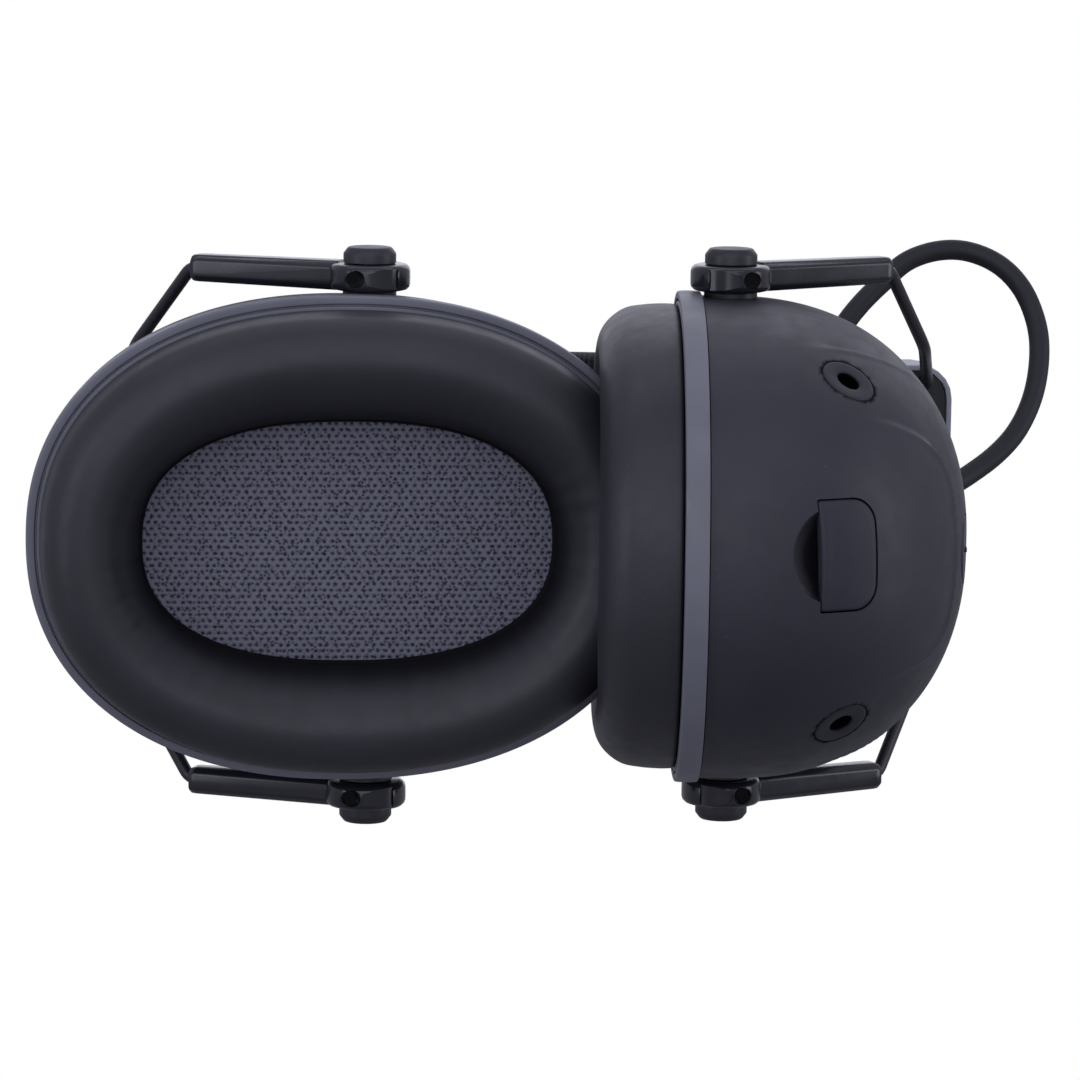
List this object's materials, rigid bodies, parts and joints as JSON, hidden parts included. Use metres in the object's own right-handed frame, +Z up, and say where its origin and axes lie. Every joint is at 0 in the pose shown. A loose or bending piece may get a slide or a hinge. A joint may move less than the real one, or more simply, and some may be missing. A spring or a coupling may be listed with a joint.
{
  "type": "earmuff hearing protector",
  "caption": "Headband ear defender with padded oval cups on tilting, height-adjustable wire yokes; one cup folded flat, lead, ports and charging flap.",
  "frame": {"origin": "middle of the underside of the headband's crown pad, where it rests on the head or on a storage peg", "axes": "+Z up out of the crown, +Y the way the wearer faces, +X towards the right-hand cup in this layout"},
  "size_m": [0.1897, 0.1014, 0.2036],
  "materials": {
    "shell_plastic": "fine moulded texture, matt",
    "trim_plastic": "satin mid grey",
    "cushion_skin": "satin polyurethane film over foam",
    "pad_elastomer": "ribbed soft elastomer",
    "mesh_cloth": "open spacer mesh",
    "foam": "open-cell foam",
    "arm_plastic": "glossy",
    "yoke_wire": "coated steel wire",
    "pin_plastic": "satin",
    "frame_plastic": "satin",
    "soft_rubber": "matt",
    "cable_jacket": "matt cable jacket",
    "spring_steel": "rolled strip",
    "bare_metal": "stamped",
    "circuit_board": "solder mask",
    "battery_wrap": "shrink film"
  },
  "bodies": {
    "headband": {"headband_carrier": "frame_plastic", "headband_cover": "trim_plastic", "headband_pad": "pad_elastomer", "headband_spring": "spring_steel", "left_spring_screw": "spring_steel", "right_spring_screw": "spring_steel"},
    "left_yoke": {"left_cable": "cable_jacket", "left_cable_guide": "frame_plastic", "left_front_yoke_arm": "arm_plastic", "left_front_yoke_wire": "yoke_wire", "left_rear_yoke_arm": "arm_plastic", "left_rear_yoke_wire": "yoke_wire", "left_slider_block": "frame_plastic", "left_slider_cover": "trim_plastic"},
    "right_yoke": {"right_cable": "cable_jacket", "right_cable_guide": "frame_plastic", "right_front_yoke_arm": "arm_plastic", "right_front_yoke_wire": "yoke_wire", "right_rear_yoke_arm": "arm_plastic", "right_rear_yoke_wire": "yoke_wire", "right_slider_block": "frame_plastic", "right_slider_cover": "trim_plastic"},
    "left_cup": {"battery_pack": "battery_wrap", "left_baffle_plate": "frame_plastic", "left_cable_gland": "soft_rubber", "left_cup_shell": "shell_plastic", "left_cushion_carrier": "frame_plastic", "left_ear_cushion": "cushion_skin", "left_foam_insert": "foam", "left_front_pivot_pin": "pin_plastic", "left_front_port_grommet": "soft_rubber", "left_mesh_cloth": "mesh_cloth", "left_rear_pivot_pin": "pin_plastic", "left_rear_port_grommet": "soft_rubber", "left_speaker": "bare_metal", "left_trim_ring": "trim_plastic"},
    "right_cup": {"charging_socket": "bare_metal", "circuit_board": "circuit_board", "right_baffle_plate": "frame_plastic", "right_cable_gland": "soft_rubber", "right_cup_shell": "shell_plastic", "right_cushion_carrier": "frame_plastic", "right_ear_cushion": "cushion_skin", "right_foam_insert": "foam", "right_front_pivot_pin": "pin_plastic", "right_front_port_grommet": "soft_rubber", "right_mesh_cloth": "mesh_cloth", "right_rear_pivot_pin": "pin_plastic", "right_rear_port_grommet": "soft_rubber", "right_speaker": "bare_metal", "right_trim_ring": "trim_plastic"},
    "charging_flap": {"charging_port_flap": "soft_rubber"},
    "volume_up_button": {"volume_up_button": "soft_rubber"},
    "power_button": {"power_button": "soft_rubber"},
    "volume_down_button": {"volume_down_button": "soft_rubber"}
  },
  "joints": [
    {"name": "left_height_slide", "type": "slide", "parent": "headband", "child": "left_yoke", "axis": [0, 0, 1], "range_m": [0, 0.022]},
    {"name": "right_height_slide", "type": "slide", "parent": "headband", "child": "right_yoke", "axis": [0, 0, 1], "range_m": [0, 0.022]},
    {"name": "left_cup_tilt", "type": "hinge", "parent": "left_yoke", "child": "left_cup", "pos_m": [-0.0318, 0, -0.134], "axis": [0, 1, 0], "range_deg": [-100, 10], "deforming": ["left_cable"]},
    {"name": "right_cup_tilt", "type": "hinge", "parent": "right_yoke", "child": "right_cup", "pos_m": [0.0318, 0, -0.134], "axis": [0, 1, 0], "range_deg": [-12, 1], "deforming": ["right_cable"]},
    {"name": "charging_flap_hinge", "type": "hinge", "parent": "right_cup", "child": "charging_flap", "pos_m": [0.04984, -0.0049, -0.18798], "axis": [0, -1, 0], "range_deg": [0, 110], "stiffness_Nm_per_rad": 0.002},
    {"name": "volume_up_press", "type": "slide", "parent": "right_cup", "child": "volume_up_button", "axis": [-0.9954, 0, 0.0958], "range_m": [0, 0.0008], "stiffness_N_per_m": 800},
    {"name": "power_press", "type": "slide", "parent": "right_cup", "child": "power_button", "axis": [-0.9954, 0, 0.0958], "range_m": [0, 0.0008], "stiffness_N_per_m": 800},
    {"name": "volume_down_press", "type": "slide", "parent": "right_cup", "child": "volume_down_button", "axis": [-0.9954, 0, 0.0958], "range_m": [0, 0.0008], "stiffness_N_per_m": 800}
  ],
  "couplings": [
    {"joint": "left_height_slide", "follows": "right_height_slide", "ratio": 1}
  ]
}
